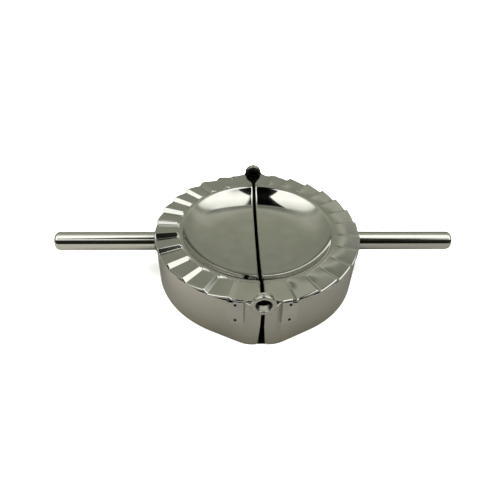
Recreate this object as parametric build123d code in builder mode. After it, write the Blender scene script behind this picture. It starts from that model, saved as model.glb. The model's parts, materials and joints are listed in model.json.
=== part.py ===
from build123d import *
from itertools import pairwise
from math import acos, atan2, cos, degrees, hypot, radians, sin
import os

# Dough press of two hinged half rings. X runs along the handles, Y along the hinge, Z up.
# The origin is the centre of the ring on the table. All sizes are in millimetres.

sheet = 0.8                 # stainless sheet of the bowls and the skirts
ring_radius = 53.75         # outer edge of the pleated flange
flange_top = 26.65          # middle height of the pleated top face
layer_gap = 0.08            # running gap between the stacked hinge layers
far = 130.0                 # larger than the whole press, for trimming blocks

# pleats: a sawtooth round each half, from the front slit to the rear slit
step_angles = (             # degrees from the front slit to the middle of each step
    16.0, 29.0, 42.1, 55.4, 68.9, 82.1, 95.0, 107.5, 119.8, 131.7, 143.5, 155.9, 168.2,
)
pleat_height = 0.95         # crest or valley from the middle height, at the outer edge
step_width = 2.1            # width of a steep face at the outer edge
step_sweep = degrees(step_width / ring_radius)
facet_inner = 42.4          # radius where the pleats start to rise out of the collar
facet_reach = 60.0          # how far the facets run before the flange is trimmed round
slit_overlap = 3.0          # degrees that the end facets run past the slit

# bowl: nearly flat bottom, a flank and a steep wall, then a lip that turns into the flange
bottom_radius = 260.0       # the arcs of the dish, and the slope that each one reaches
bottom_slope = 5.1
flank_radius = 34.0
flank_slope = 19.0
wall_radius = 21.6
wall_slope = 43.0
lip_outer = 41.5            # radius where the lip turns level
collar_outer = 42.9         # outer edge of the flat ring that ties the lip to the pleats
bowl_slit = 0.8             # half of the slit between the two bowls
dish_edge = (
    bottom_radius * sin(radians(bottom_slope))
    + flank_radius * (sin(radians(flank_slope)) - sin(radians(bottom_slope)))
    + wall_radius * (sin(radians(wall_slope)) - sin(radians(flank_slope)))
)
dish_rise = (
    bottom_radius * (1 - cos(radians(bottom_slope)))
    + flank_radius * (cos(radians(bottom_slope)) - cos(radians(flank_slope)))
    + wall_radius * (cos(radians(flank_slope)) - cos(radians(wall_slope)))
)
lip_radius = (lip_outer - dish_edge) / sin(radians(wall_slope))
dish_floor = flange_top - lip_radius * (1 - cos(radians(wall_slope))) - dish_rise

# clearance cut into the flange round each hinge, as x and y of its corners
front_relief = ((bowl_slit, 50.3), (4.6, 52.5), (9.5, 52.9))
rear_relief = ((bowl_slit, 45.9), (4.6, 53.4), (7.1, 53.4))

# hinge: rivets through the ears of both skirts; the rear one is smaller and its head is closed
hinge_z = 27.4
barrel_radii = {"front": 4.4, "rear": 3.7}
bore_covers = {"front": 0.0, "rear": 0.6}   # thickness of the head over the bore
barrel_wall = 0.7
head_overhangs = {"front": 1.35, "rear": 1.0}   # how far the head stands out past the barrel
flare_overhang = 0.5        # the same for the rolled end and for the washer
washer_overhang = 0.7
running_gap = 0.06          # radial clearance of the ear that turns on the barrel
head_thickness = 0.8
head_rounding = 0.7
flare_thickness = 0.5
washer_thickness = 0.8
outer_face = 55.9           # outer face of the right skirt's ears, the outer layer
inner_face = outer_face - sheet - layer_gap
washer_face = inner_face - sheet - layer_gap
flare_face = washer_face - washer_thickness
eyelet_end = flare_face - flare_thickness

# skirts: upright bands whose ends leave the circle and run straight to the ears
skirt_radius = 53.3
skirt_height = flange_top - pleat_height - sheet - 0.1
corner_x = 7.5              # where the straight stretch turns flat for the ears
corner_rounding = 14.0
band_overrun = 20.0         # how far the band runs past the slit before it is trimmed
outer_ear_overhang = 0.8    # radius of the ears in the outer layer past the barrel
inner_ear_overhang = 0.65   # the same for the inner layer
ear_drop = 1.0              # the lobes are this much longer below the hinge
# edge of each skirt from the middle, under the ears and at the table; at the rear the right one laps
slit_edges = {
    ("left", "front"): (0.75, 1.7),
    ("right", "front"): (0.75, 1.7),
    ("left", "rear"): (0.75, 0.75),
    ("right", "rear"): (-1.2, -1.2),
}
shoulder_x = 8.4            # the skirt is higher from here to the ear
shoulder_height = 26.2
shoulder_slope = 0.8

# tabs: strips of the bowl pressing, folded down outside the skirt and spot welded
tab_inner = 8.8             # distance of the tab's near edge from the slit
tab_outer = 16.1
tab_bottom = 12.7
tab_rounding = 1.5
fold_radius = 1.3           # outer radius of the fold
tab_root = 6.0              # how far the tab's strip runs in over the flange
weld_radius = 0.75
weld_heights = (24.0, 14.7)
weld_dimple = 0.25          # depth of each weld below the face of the tab

# handles
handle_radius = 5.0
handle_wall = 0.8
handle_z = 17.7
spigot_radius = 4.7         # the tube's end is turned down where it enters the skirt
handle_root = 51.6          # end of the tube inside the skirt
handle_end = 106.9
cap_length = 2.9            # visible part of the end cap
cap_rounding = 2.4
plug_length = 4.0           # part of the cap inside the tube
bead_width = 1.0            # weld bead round the tube where it enters the skirt
bead_depth = 0.6            # how far the bead follows the skirt's curve back
bead_face = skirt_radius + bead_width


def pleat_folds(side):
    """Angle and height of each fold line of one half; the left heights are the right ones inverted."""
    folds = [(-slit_overlap, 0.0)]
    for angle in step_angles:
        before = 0.0 if angle == step_angles[0] else side * pleat_height
        after = 0.0 if angle == step_angles[-1] else -side * pleat_height
        folds.append((angle - step_sweep / 2, before))
        folds.append((angle + step_sweep / 2, after))
    folds.append((180 + slit_overlap, 0.0))
    return folds


def fold_point(side, angle, height):
    """End of a fold line, facet_reach from the centre, at an angle from the front slit."""
    across = side * facet_reach * sin(radians(angle))
    back = -facet_reach * cos(radians(angle))
    return Vector(across, back, flange_top + height * facet_reach / ring_radius)


def straight_angle(face):
    """Angle at which the straight stretch leaves the skirt's circle to end on the ears' face."""
    return atan2(corner_x, face) + acos(skirt_radius / hypot(corner_x, face))


def tab_plane(side, end, face):
    """Upright plane on the skirt behind one tab: its y runs up and its z points outwards."""
    turn = straight_angle(face)
    outward = Vector(side * sin(turn), end * cos(turn), 0)
    along = Vector(side * cos(turn), -end * sin(turn), 0)
    middle = (tab_inner + tab_outer) / 2
    reach = (middle - skirt_radius * sin(turn)) / cos(turn)
    foot = outward * skirt_radius + along * reach
    return Plane(origin=foot, x_dir=Vector(0, 0, 1).cross(outward), z_dir=outward)


def weld_spots(plane):
    """Locations of the two welds of one tab."""
    return [plane * Location((0, height, 0)) for height in weld_heights]


def make_bowl(side, face):
    with BuildPart() as bowl:
        # pleated flange: each facet is a flat triangle that points at the centre
        apex = Vector(0, 0, flange_top)
        for start, stop in pairwise(pleat_folds(side)):
            corners = [apex, fold_point(side, *start), fold_point(side, *stop)]
            facet = Face(Wire.make_polygon(corners, close=True))
            extrude(facet, amount=sheet, dir=(0, 0, -1))
        with BuildSketch(Plane.XY):
            Circle(ring_radius)
            Circle(facet_inner, mode=Mode.SUBTRACT)
        extrude(amount=2 * flange_top, mode=Mode.INTERSECT)

        # dish and lip
        with BuildSketch(Plane.XZ):
            with BuildLine():
                bottom = JernArc((0, dish_floor), (1, 0), bottom_radius, bottom_slope)
                flank = JernArc(bottom @ 1, bottom % 1, flank_radius, flank_slope - bottom_slope)
                wall = JernArc(flank @ 1, flank % 1, wall_radius, wall_slope - flank_slope)
                lip = JernArc(wall @ 1, wall % 1, lip_radius, -wall_slope)
                collar = Polyline(
                    lip @ 1,
                    (collar_outer, flange_top),
                    (collar_outer, flange_top - sheet),
                    (lip_outer, flange_top - sheet),
                )
                under_lip = JernArc(collar @ 1, (-1, 0), lip_radius - sheet, wall_slope)
                under_wall = JernArc(
                    under_lip @ 1, under_lip % 1, wall_radius + sheet, flank_slope - wall_slope
                )
                under_flank = JernArc(
                    under_wall @ 1, under_wall % 1, flank_radius + sheet, bottom_slope - flank_slope
                )
                under_bottom = JernArc(
                    under_flank @ 1, under_flank % 1, bottom_radius + sheet, -bottom_slope
                )
                Line(under_bottom @ 1, bottom @ 0)
            make_face()
        revolve(axis=Axis.Z)

        # corners cut off beside both hinges, then the slit
        with BuildSketch(Plane.XY):
            for end, relief in ((-1, front_relief), (1, rear_relief)):
                cut = [(side * x, end * y) for x, y in relief]
                with BuildLine():
                    Polyline(
                        (0, end * far),
                        (0, cut[0][1]),
                        *cut,
                        (cut[-1][0], end * far),
                        close=True,
                    )
                make_face()
        extrude(amount=2 * flange_top, mode=Mode.SUBTRACT)
        with Locations((side * (far + bowl_slit), 0, 0)):
            Box(2 * far, 2 * far, 2 * far, mode=Mode.INTERSECT)

        # folded tabs, each a bent strip that lies on the straight stretch of the skirt
        for end in (-1, 1):
            wall = tab_plane(side, end, face)
            turn = flange_top - fold_radius
            with BuildSketch(Plane(origin=wall.origin, x_dir=wall.z_dir, z_dir=-wall.x_dir)):
                with BuildLine():
                    over = Line((-tab_root, flange_top), (sheet - fold_radius, flange_top))
                    fold = JernArc(over @ 1, (1, 0), fold_radius, -90)
                    down = Polyline(fold @ 1, (sheet, tab_bottom), (0, tab_bottom), (0, turn))
                    under = JernArc(down @ 1, (0, 1), fold_radius - sheet, 90)
                    Polyline(under @ 1, (-tab_root, flange_top - sheet), over @ 0)
                make_face()
            extrude(amount=(tab_outer - tab_inner) / abs(wall.x_dir.X) / 2, both=True)
        tab_feet = bowl.edges().group_by(Axis.Z)[0].filter_by(lambda edge: edge.length < 2 * sheet)
        fillet(tab_feet, tab_rounding)
        for end in (-1, 1):
            with Locations(*weld_spots(tab_plane(side, end, face))):
                Cylinder(weld_radius, 3 * sheet, mode=Mode.SUBTRACT)
    return bowl


def make_skirt(half, ear_overhang, hole_gap):
    side, face = halves[half]
    turn = straight_angle(face)
    with BuildPart() as skirt:
        # band seen from above
        with BuildSketch(Plane.XY):
            with BuildLine():
                leave = (side * skirt_radius * sin(turn), skirt_radius * cos(turn))
                front = Polyline(
                    (-side * band_overrun, -face),
                    (side * corner_x, -face),
                    (leave[0], -leave[1]),
                )
                band = ThreePointArc(front @ 1, (side * skirt_radius, 0), leave)
                back = Polyline(band @ 1, (side * corner_x, face), (-side * band_overrun, face))
                Line(back @ 1, front @ 0)
            outline = make_face()
            corners = outline.vertices().filter_by(lambda corner: abs(corner.X - side * corner_x) < 0.1)
            fillet(corners, corner_rounding)
            offset(amount=-sheet, mode=Mode.SUBTRACT)
        extrude(amount=2 * hinge_z)

        # each end is cut away round its silhouette: the slit, the shoulder, the ear and its hole
        for place, end in ends.items():
            barrel_radius = barrel_radii[place]
            slit_top, slit_base = slit_edges[half, place]
            with BuildSketch(Plane.XZ):
                Rectangle(2 * far, 2 * far)
                with BuildLine():
                    Polyline(
                        (side * slit_base, 0),
                        (side * far, 0),
                        (side * far, skirt_height),
                        (side * shoulder_x, skirt_height),
                        (side * (shoulder_x - shoulder_slope), shoulder_height),
                        (side * slit_top, shoulder_height),
                        close=True,
                    )
                make_face(mode=Mode.SUBTRACT)
                with Locations((0, hinge_z - ear_drop / 2)):
                    lobe_width = 2 * (barrel_radius + ear_overhang)
                    SlotCenterToCenter(ear_drop, lobe_width, rotation=90, mode=Mode.SUBTRACT)
                with Locations((0, hinge_z)):
                    Circle(barrel_radius + hole_gap)
            extrude(amount=-end * far, mode=Mode.SUBTRACT)

        # hole for the handle
        with BuildSketch(Plane.YZ):
            with Locations((0, handle_z)):
                Circle(spigot_radius)
        extrude(amount=side * far, mode=Mode.SUBTRACT)
    return skirt


def make_tab_welds(side, end, face):
    with BuildPart() as welds:
        with Locations(*weld_spots(tab_plane(side, end, face))):
            Cylinder(
                weld_radius,
                sheet - weld_dimple,
                align=(Align.CENTER, Align.CENTER, Align.MIN),
            )
    return welds


def make_handle_tube(side):
    with BuildPart() as tube:
        with BuildSketch(Plane.YZ.offset(side * handle_root)):
            with Locations((0, handle_z)):
                Circle(spigot_radius)
        extrude(amount=side * (bead_face - handle_root))
        with BuildSketch(Plane.YZ.offset(side * bead_face)):
            with Locations((0, handle_z)):
                Circle(handle_radius)
        extrude(amount=side * (handle_end - cap_length - bead_face))
        with BuildSketch(Plane.YZ):
            with Locations((0, handle_z)):
                Circle(handle_radius - handle_wall)
        extrude(amount=side * far, mode=Mode.SUBTRACT)
    return tube


def make_handle_cap(side):
    shoulder = handle_end - cap_length
    with BuildPart() as cap:
        with BuildSketch(Plane.XZ):
            with BuildLine():
                Polyline(
                    (side * (shoulder - plug_length), handle_z),
                    (side * (shoulder - plug_length), handle_z + handle_radius - handle_wall),
                    (side * shoulder, handle_z + handle_radius - handle_wall),
                    (side * shoulder, handle_z + handle_radius),
                    (side * handle_end, handle_z + handle_radius),
                    (side * handle_end, handle_z),
                    close=True,
                )
            make_face()
        revolve(axis=Axis((0, 0, handle_z), (1, 0, 0)))
        end_rim = cap.edges().filter_by(GeomType.CIRCLE).group_by(Axis.X)[0 if side < 0 else -1]
        fillet(end_rim, cap_rounding)
    return cap


def make_handle_weld(side):
    with BuildPart() as weld:
        with BuildSketch(Plane.XZ):
            with BuildLine():
                back = side * (skirt_radius - bead_depth)
                rise = handle_z + handle_radius
                halfway = bead_width * sin(radians(45))
                slope = ThreePointArc(
                    (side * bead_face, rise),
                    (side * (skirt_radius + halfway), rise + halfway),
                    (side * skirt_radius, rise + bead_width),
                )
                Polyline(
                    slope @ 1,
                    (back, rise + bead_width),
                    (back, handle_z + spigot_radius),
                    (side * bead_face, handle_z + spigot_radius),
                    slope @ 0,
                )
            make_face()
        revolve(axis=Axis((0, 0, handle_z), (1, 0, 0)))
        with BuildSketch(Plane.XY):
            Circle(skirt_radius)
        extrude(amount=hinge_z, mode=Mode.SUBTRACT)
    return weld


def make_eyelet(place, end):
    barrel_radius = barrel_radii[place]
    head_radius = barrel_radius + head_overhangs[place]
    flare_radius = barrel_radius + flare_overhang
    head_face = outer_face + head_thickness
    with BuildPart() as eyelet:
        with BuildSketch(Plane.YZ):
            with BuildLine():
                Polyline(
                    (end * head_face, hinge_z),
                    (end * head_face, hinge_z + head_radius),
                    (end * outer_face, hinge_z + head_radius),
                    (end * outer_face, hinge_z + barrel_radius),
                    (end * flare_face, hinge_z + barrel_radius),
                    (end * flare_face, hinge_z + flare_radius),
                    (end * eyelet_end, hinge_z + flare_radius),
                    (end * eyelet_end, hinge_z),
                    close=True,
                )
            make_face()
        revolve(axis=Axis((0, 0, hinge_z), (0, 1, 0)))
        head_rim = eyelet.edges().filter_by(GeomType.CIRCLE).group_by(Axis.Y)[0 if end < 0 else -1]
        fillet(head_rim, head_rounding)
        with BuildSketch(Plane.XZ.offset(-end * eyelet_end)):
            with Locations((0, hinge_z)):
                Circle(barrel_radius - barrel_wall)
        bore_depth = head_face - bore_covers[place] - eyelet_end
        extrude(amount=-end * bore_depth, mode=Mode.SUBTRACT)
    return eyelet


def make_washer(end, barrel_radius):
    with BuildPart() as washer:
        with BuildSketch(Plane.XZ.offset(-end * washer_face)):
            with Locations((0, hinge_z)):
                Circle(barrel_radius + washer_overhang)
                Circle(barrel_radius + running_gap, mode=Mode.SUBTRACT)
        extrude(amount=end * washer_thickness)
    return washer


halves = {"left": (-1, inner_face), "right": (1, outer_face)}
ends = {"front": -1, "rear": 1}

pieces = {}
for half, (side, face) in halves.items():
    pieces[f"{half}_bowl"] = make_bowl(side, face)
    pieces[f"{half}_handle_tube"] = make_handle_tube(side)
    pieces[f"{half}_handle_cap"] = make_handle_cap(side)
    pieces[f"{half}_handle_weld"] = make_handle_weld(side)
    for place, end in ends.items():
        pieces[f"{half}_{place}_tab_welds"] = make_tab_welds(side, end, face)

# the left skirt's ears lie inside and turn on the barrels; the right skirt's ears grip them
pieces["left_skirt"] = make_skirt("left", inner_ear_overhang, running_gap)
pieces["right_skirt"] = make_skirt("right", outer_ear_overhang, 0)

for place, end in ends.items():
    pieces[f"{place}_hinge_eyelet"] = make_eyelet(place, end)
    pieces[f"{place}_hinge_washer"] = make_washer(end, barrel_radii[place])

os.makedirs("parts", exist_ok=True)
for label, piece in pieces.items():
    piece.part.label = label
    export_step(piece.part, f"parts/{label}.step")
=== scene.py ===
import json
import math
import bmesh
import bpy
from mathutils import Matrix, Vector


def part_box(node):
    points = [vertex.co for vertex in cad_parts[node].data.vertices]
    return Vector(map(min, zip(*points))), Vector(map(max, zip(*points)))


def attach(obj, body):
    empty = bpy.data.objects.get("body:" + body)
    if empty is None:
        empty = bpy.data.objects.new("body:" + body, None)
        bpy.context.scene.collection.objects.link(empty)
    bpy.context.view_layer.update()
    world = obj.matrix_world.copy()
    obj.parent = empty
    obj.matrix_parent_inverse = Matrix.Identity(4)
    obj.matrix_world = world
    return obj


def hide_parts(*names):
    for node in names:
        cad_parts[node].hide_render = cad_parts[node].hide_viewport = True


# Dough press: two pleated half bowls on upright skirts, hinged on hollow rivets, with tube handles.
# Lengths in the settings are millimetres and angles are degrees.

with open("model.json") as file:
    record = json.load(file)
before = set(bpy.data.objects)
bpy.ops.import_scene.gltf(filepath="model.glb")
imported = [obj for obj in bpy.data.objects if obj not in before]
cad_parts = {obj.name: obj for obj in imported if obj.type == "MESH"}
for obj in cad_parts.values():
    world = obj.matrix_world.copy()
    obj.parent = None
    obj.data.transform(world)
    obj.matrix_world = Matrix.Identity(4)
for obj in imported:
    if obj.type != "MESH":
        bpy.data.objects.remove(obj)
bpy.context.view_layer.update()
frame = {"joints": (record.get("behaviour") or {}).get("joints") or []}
scene = bpy.context.scene
mm = 0.001
sheet = 0.8  # gauge of every pressed piece
sheetCorner = 75  # an edge of the sheet sharper than this is broken
nearly = 0.01  # two places nearer than this count as one
touching = 0.0005  # vertices nearer than this are merged, but for the sheet's
hingeHeight = frame["joints"][0]["pos_m"][2] / mm
handleHeight = (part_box("right_handle_tube")[0].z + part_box("right_handle_tube")[1].z) / 2 / mm
# values by end have -1 for the front and 1 for the rear; the rear ends of the skirts overlap
halves = {
    "right": {
        "side": 1,
        "earFace": 55.9,  # how far out the hinge ears stand
        "footFace": {-1: 56.0, 1: 56.0},  # and the skirt's feet below them, by end
        "earRadius": "outerEar",
        "boreSlack": 0.0,  # room between the ear and the rivet's barrel
        # distance of the skirt's edge from the slit's middle at its top, middle and foot, by end
        "edge": {-1: (0.75, 0.85, 1.65), 1: (-1.2, -1.2, -1.2)},
        "tabShoulder": 24.7,
        "stepWidth": 1.5,  # steps between the pleats, and the rounding of their folds
        "foldRounding": 0.8,
        "pleatStart": (41.0, 47.2),  # the pleats grow to full height between these radii
    },
    "left": {
        "side": -1,
        "earFace": 55.02,
        "footFace": {-1: 56.0, 1: 55.02},
        "earRadius": "innerEar",
        "boreSlack": 0.06,
        "edge": {-1: (0.75, 0.95, 1.65), 1: (0.75, 0.75, 0.75)},
        "tabShoulder": 25.3,
        "stepWidth": 2.1,
        "foldRounding": 0.35,
        "pleatStart": (41.1, 42.3),
    },
}
# radii of the rivets and of the ears they go through; the rear one's head is closed by a cover
rivets = {
    "front": {"end": -1, "barrel": 4.4, "head": 5.75, "cover": 0, "outerEar": 5.2, "innerEar": 5.05},
    "rear": {"end": 1, "barrel": 3.7, "head": 4.7, "cover": 0.6, "outerEar": 4.5, "innerEar": 4.35},
}
print("frame loaded")


# small helpers
def linear(hexColour):
    channels = [int(hexColour[i:i + 2], 16) / 255 for i in (1, 3, 5)]
    return [c / 12.92 if c <= 0.04045 else ((c + 0.055) / 1.055) ** 2.4 for c in channels] + [1.0]


def smooth(value, low, high):
    share = min(1.0, max(0.0, (value - low) / (high - low)))
    return share * share * (3 - 2 * share)


def vertsOf(parts):
    return list({vert for part in parts for vert in part.verts})


def putInOrder(bm):  # by place, because spin and cuts leave the mesh in another order in every run
    def place(part):
        verts = [part] if isinstance(part, bmesh.types.BMVert) else part.verts
        return [round(sum(vert.co[axis] for vert in verts), 4) for axis in (1, 0, 2)]
    for parts in (bm.verts, bm.edges, bm.faces):
        ranks = {part: rank for rank, part in enumerate(sorted(parts, key=place))}
        parts.sort(key=lambda part: ranks[part])


def onlyEdges(geom):
    return [part for part in geom if isinstance(part, bmesh.types.BMEdge)]


def lineTo(bm, vert, place):  # draws an edge from a vertex to a new one
    new = bmesh.ops.extrude_vert_indiv(bm, verts=[vert])["verts"][0]
    new.co = place
    return new


def arcRound(bm, vert, centre, axis, angle, steps):  # draws an arc from a vertex
    last = bmesh.ops.spin(
        bm, geom=[vert], cent=centre, axis=axis, dvec=(0, 0, 0),
        angle=math.radians(angle), steps=steps, use_merge=False)["geom_last"]
    return [part for part in last if isinstance(part, bmesh.types.BMVert)][0]


def turned(bm, angles, step):  # sweeps the whole profile about Z through these angles
    bmesh.ops.rotate(
        bm, verts=bm.verts[:], cent=(0, 0, 0), matrix=Matrix.Rotation(math.radians(angles[0]), 3, "Z"))
    strip = bm.verts[:] + bm.edges[:]
    for before, after in zip(angles, angles[1:]):
        strip = bmesh.ops.spin(
            bm, geom=strip, cent=(0, 0, 0), axis=(0, 0, 1), dvec=(0, 0, 0),
            angle=math.radians(after - before), steps=max(1, math.ceil((after - before) / step)),
            use_merge=False)["geom_last"]
    return onlyEdges(strip)


def spunWhole(bm, centre, axis, steps):
    bmesh.ops.spin(
        bm, geom=bm.verts[:] + bm.edges[:], cent=centre, axis=axis, dvec=(0, 0, 0),
        angle=math.radians(360), steps=steps, use_merge=True)
    bmesh.ops.remove_doubles(bm, verts=bm.verts[:], dist=touching)
    bmesh.ops.recalc_face_normals(bm, faces=bm.faces[:])


def cutAcross(bm, faces, point, normal):
    around = faces + vertsOf(faces) + list({edge for face in faces for edge in face.edges})
    bmesh.ops.bisect_plane(bm, geom=around, plane_co=point, plane_no=normal)


def mirrorLeft(bm, half):
    if half["side"] < 0:
        bmesh.ops.scale(bm, vec=(-1, 1, 1), verts=bm.verts[:])


def faceOutwards(bm, isOutward):  # a sheet's normals all one way, and that way outwards
    bmesh.ops.recalc_face_normals(bm, faces=bm.faces[:])
    votes = sum(1 if isOutward(face) else -1 for face in bm.faces)
    if votes < 0:
        bmesh.ops.reverse_faces(bm, faces=bm.faces[:])


def toPiece(bm, name, material, body, slot, *nodes):
    bmesh.ops.transform(bm, matrix=Matrix.Scale(mm, 4), verts=bm.verts[:])
    mesh = bpy.data.meshes.new(name)
    bm.to_mesh(mesh)
    bm.free()
    mesh.shade_smooth()
    mesh.materials.append(material)
    piece = bpy.data.objects.new(name, mesh)
    scene.collection.objects.link(piece)
    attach(piece, body)
    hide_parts(*nodes)
    return piece


def breakEdges(piece, width, steepest):
    rim = piece.modifiers.new("rim", "BEVEL")
    rim.width = width * mm
    rim.segments = 3
    rim.limit_method = "ANGLE"
    rim.angle_limit = math.radians(steepest)
    rim.use_clamp_overlap = False
    rim.harden_normals = True


def giveGauge(piece, edgeWidth):  # the sheet's thickness lies behind its outer face
    wall = piece.modifiers.new("wall", "SOLIDIFY")
    wall.thickness = sheet * mm
    wall.offset = -1
    wall.use_even_offset = False
    breakEdges(piece, edgeWidth, sheetCorner)


def addNode(tree, kind, settings=None, links=None):
    node = tree.nodes.new(kind)
    for name, value in (settings or {}).items():
        if isinstance(name, int) or name in node.inputs:
            node.inputs[name].default_value = value
        else:
            setattr(node, name, value)
    for name, source in (links or {}).items():
        tree.links.new(source, node.inputs[name])
    return node


def fromTo(span, results=(0.0, 1.0)):  # what a value is mapped to as it passes this span
    return {"From Min": span[0], "From Max": span[1], "To Min": results[0], "To Max": results[1]}


def setRamp(node, stops):
    ramp = node.color_ramp
    while len(ramp.elements) < len(stops):
        ramp.elements.new(1.0)
    for element, (position, colour) in zip(ramp.elements, stops):
        element.position = position
        element.color = linear(colour)


# camera
cameraSettings = {
    "aim": (-4.123, -10.491, 20.0),
    "distance": 230.168,
    "turn": 3.606,
    "tilt": 40.596,
    "roll": 2.195,
    "lens": 31.752,
    "nearest": 5.0,
}


def makeCamera():
    c = cameraSettings
    data = bpy.data.cameras.new("camera")
    data.lens = c["lens"]
    data.clip_start = c["nearest"] * mm
    camera = bpy.data.objects.new("camera", data)
    scene.collection.objects.link(camera)
    rotation = (
        Matrix.Rotation(math.radians(-c["turn"]), 4, "Z")
        @ Matrix.Rotation(math.radians(90 - c["tilt"]), 4, "X")
        @ Matrix.Rotation(math.radians(c["roll"]), 4, "Z"))
    place = (Vector(c["aim"]) + rotation @ Vector((0, 0, c["distance"]))) * mm
    camera.matrix_world = Matrix.Translation(place) @ rotation
    scene.camera = camera


makeCamera()
print("camera set")


# materials
def newMetal(name):
    material = bpy.data.materials.new(name)
    material.use_nodes = True
    tree = material.node_tree
    shader = tree.nodes["Principled BSDF"]
    shader.inputs["Metallic"].default_value = 1.0
    return material, tree, shader, addNode(tree, "ShaderNodeTexCoord").outputs["Object"]


def perSize(size):  # scale of a noise whose features are this many millimetres wide
    return 1 / (size * mm)


# colour and roughness follow a pattern, the roughness over this span of it
def varyFinish(tree, shader, pattern, tones, roughness, span=(0.3, 0.7), tonePattern=None):
    tone = addNode(tree, "ShaderNodeValToRGB", {}, {"Fac": pattern if tonePattern is None else tonePattern})
    setRamp(tone, tones)
    gloss = addNode(tree, "ShaderNodeMapRange", fromTo(span, roughness), {"Value": pattern})
    tree.links.new(tone.outputs["Color"], shader.inputs["Base Color"])
    tree.links.new(gloss.outputs["Result"], shader.inputs["Roughness"])


# 304 stainless sheet, deep drawn and buffed: a clear mirror, a little wavy, with faint buffing haze
def buffedStainless():
    material, tree, shader, place = newMetal("buffedStainless")
    haze = addNode(tree, "ShaderNodeTexNoise", {"Scale": perSize(9), "Detail": 4.0}, {"Vector": place})
    wave = addNode(tree, "ShaderNodeTexNoise", {"Scale": perSize(16), "Detail": 1.0}, {"Vector": place})
    varyFinish(
        tree, shader, haze.outputs["Fac"], [(0.3, "#CDCCC8"), (0.7, "#D4D3D0")], (0.03, 0.09), (0.3, 0.75))
    bump = addNode(
        tree, "ShaderNodeBump", {"Strength": 1.0, "Distance": 0.03 * mm}, {"Height": wave.outputs["Fac"]})
    tree.links.new(bump.outputs["Normal"], shader.inputs["Normal"])
    return material


# 304 stainless strip as rolled: soft reflections, with a straw tint that grows towards the foot of the wall
def rolledStainless():
    material, tree, shader, place = newMetal("rolledStainless")
    patch = addNode(tree, "ShaderNodeTexNoise", {"Scale": perSize(12), "Detail": 3.0}, {"Vector": place})
    wave = addNode(tree, "ShaderNodeTexNoise", {"Scale": perSize(20), "Detail": 1.0}, {"Vector": place})
    height = addNode(tree, "ShaderNodeSeparateXYZ", {}, {"Vector": place})
    low = addNode(tree, "ShaderNodeMapRange", fromTo((14 * mm, 0.0)), {"Value": height.outputs["Z"]})
    tint = addNode(
        tree, "ShaderNodeMath", {"operation": "MULTIPLY"},
        {0: low.outputs["Result"], 1: patch.outputs["Fac"]})
    varyFinish(
        tree, shader, patch.outputs["Fac"], [(0.15, "#CDCAC4"), (0.6, "#C8C4B0")], (0.16, 0.26),
        tonePattern=tint.outputs["Value"])
    bump = addNode(
        tree, "ShaderNodeBump", {"Strength": 1.0, "Distance": 0.05 * mm}, {"Height": wave.outputs["Fac"]})
    tree.links.new(bump.outputs["Normal"], shader.inputs["Normal"])
    return material


# drawn stainless tube, machine polished: near mirror with very fine rings round it
def polishedTube():
    material, tree, shader, place = newMetal("polishedTube")
    along = addNode(
        tree, "ShaderNodeMapping", {"Scale": (perSize(0.5), perSize(20), perSize(20))}, {"Vector": place})
    rings = addNode(
        tree, "ShaderNodeTexNoise", {"Scale": 1.0, "Detail": 3.0}, {"Vector": along.outputs["Vector"]})
    varyFinish(tree, shader, rings.outputs["Fac"], [(0.3, "#CFCEC9"), (0.7, "#D6D5D0")], (0.06, 0.12))
    return material


# weld metal: dull, dark and a little rippled
def weldMetal():
    material, tree, shader, place = newMetal("weldMetal")
    grain = addNode(tree, "ShaderNodeTexNoise", {"Scale": perSize(0.8), "Detail": 4.0}, {"Vector": place})
    varyFinish(tree, shader, grain.outputs["Fac"], [(0.35, "#4A4842"), (0.7, "#8B8982")], (0.3, 0.5))
    bump = addNode(
        tree, "ShaderNodeBump", {"Strength": 1.0, "Distance": 0.08 * mm}, {"Height": grain.outputs["Fac"]})
    tree.links.new(bump.outputs["Normal"], shader.inputs["Normal"])
    return material


# spot weld marks: the steel is scorched nearly black inside them
def scorchedSteel():
    material, tree, shader, place = newMetal("scorchedSteel")
    soot = addNode(tree, "ShaderNodeTexNoise", {"Scale": perSize(0.5), "Detail": 3.0}, {"Vector": place})
    varyFinish(tree, shader, soot.outputs["Fac"], [(0.35, "#1B1916"), (0.7, "#36332D")], (0.4, 0.6))
    return material


# stainless rivet upset cold in a press: satin, with light tool marks
def pressedRivet():
    material, tree, shader, place = newMetal("pressedRivet")
    marks = addNode(tree, "ShaderNodeTexNoise", {"Scale": perSize(1.5), "Detail": 3.0}, {"Vector": place})
    varyFinish(tree, shader, marks.outputs["Fac"], [(0.35, "#C8C6BE"), (0.7, "#D2D0CA")], (0.14, 0.26))
    return material


# stainless rivet and washer with painted shade: coloured nearly black because the rear hinge lies in
# shadow, dull, with lighter grey specks
def shadedRivet():
    material, tree, shader, place = newMetal("shadedRivet")
    specks = addNode(tree, "ShaderNodeTexNoise", {"Scale": perSize(1.2), "Detail": 4.0}, {"Vector": place})
    varyFinish(tree, shader, specks.outputs["Fac"], [(0.4, "#24231F"), (0.72, "#4B4943")], (0.26, 0.42))
    return material


bowlFinish = buffedStainless()
skirtFinish = rolledStainless()
tubeFinish = polishedTube()
weldFinish = weldMetal()
scorchFinish = scorchedSteel()
# painted shade: the rear hinge gets a near-black copy of the rivet steel
rivetFinishes = {"front": pressedRivet(), "rear": shadedRivet()}
print("materials made")


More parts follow.
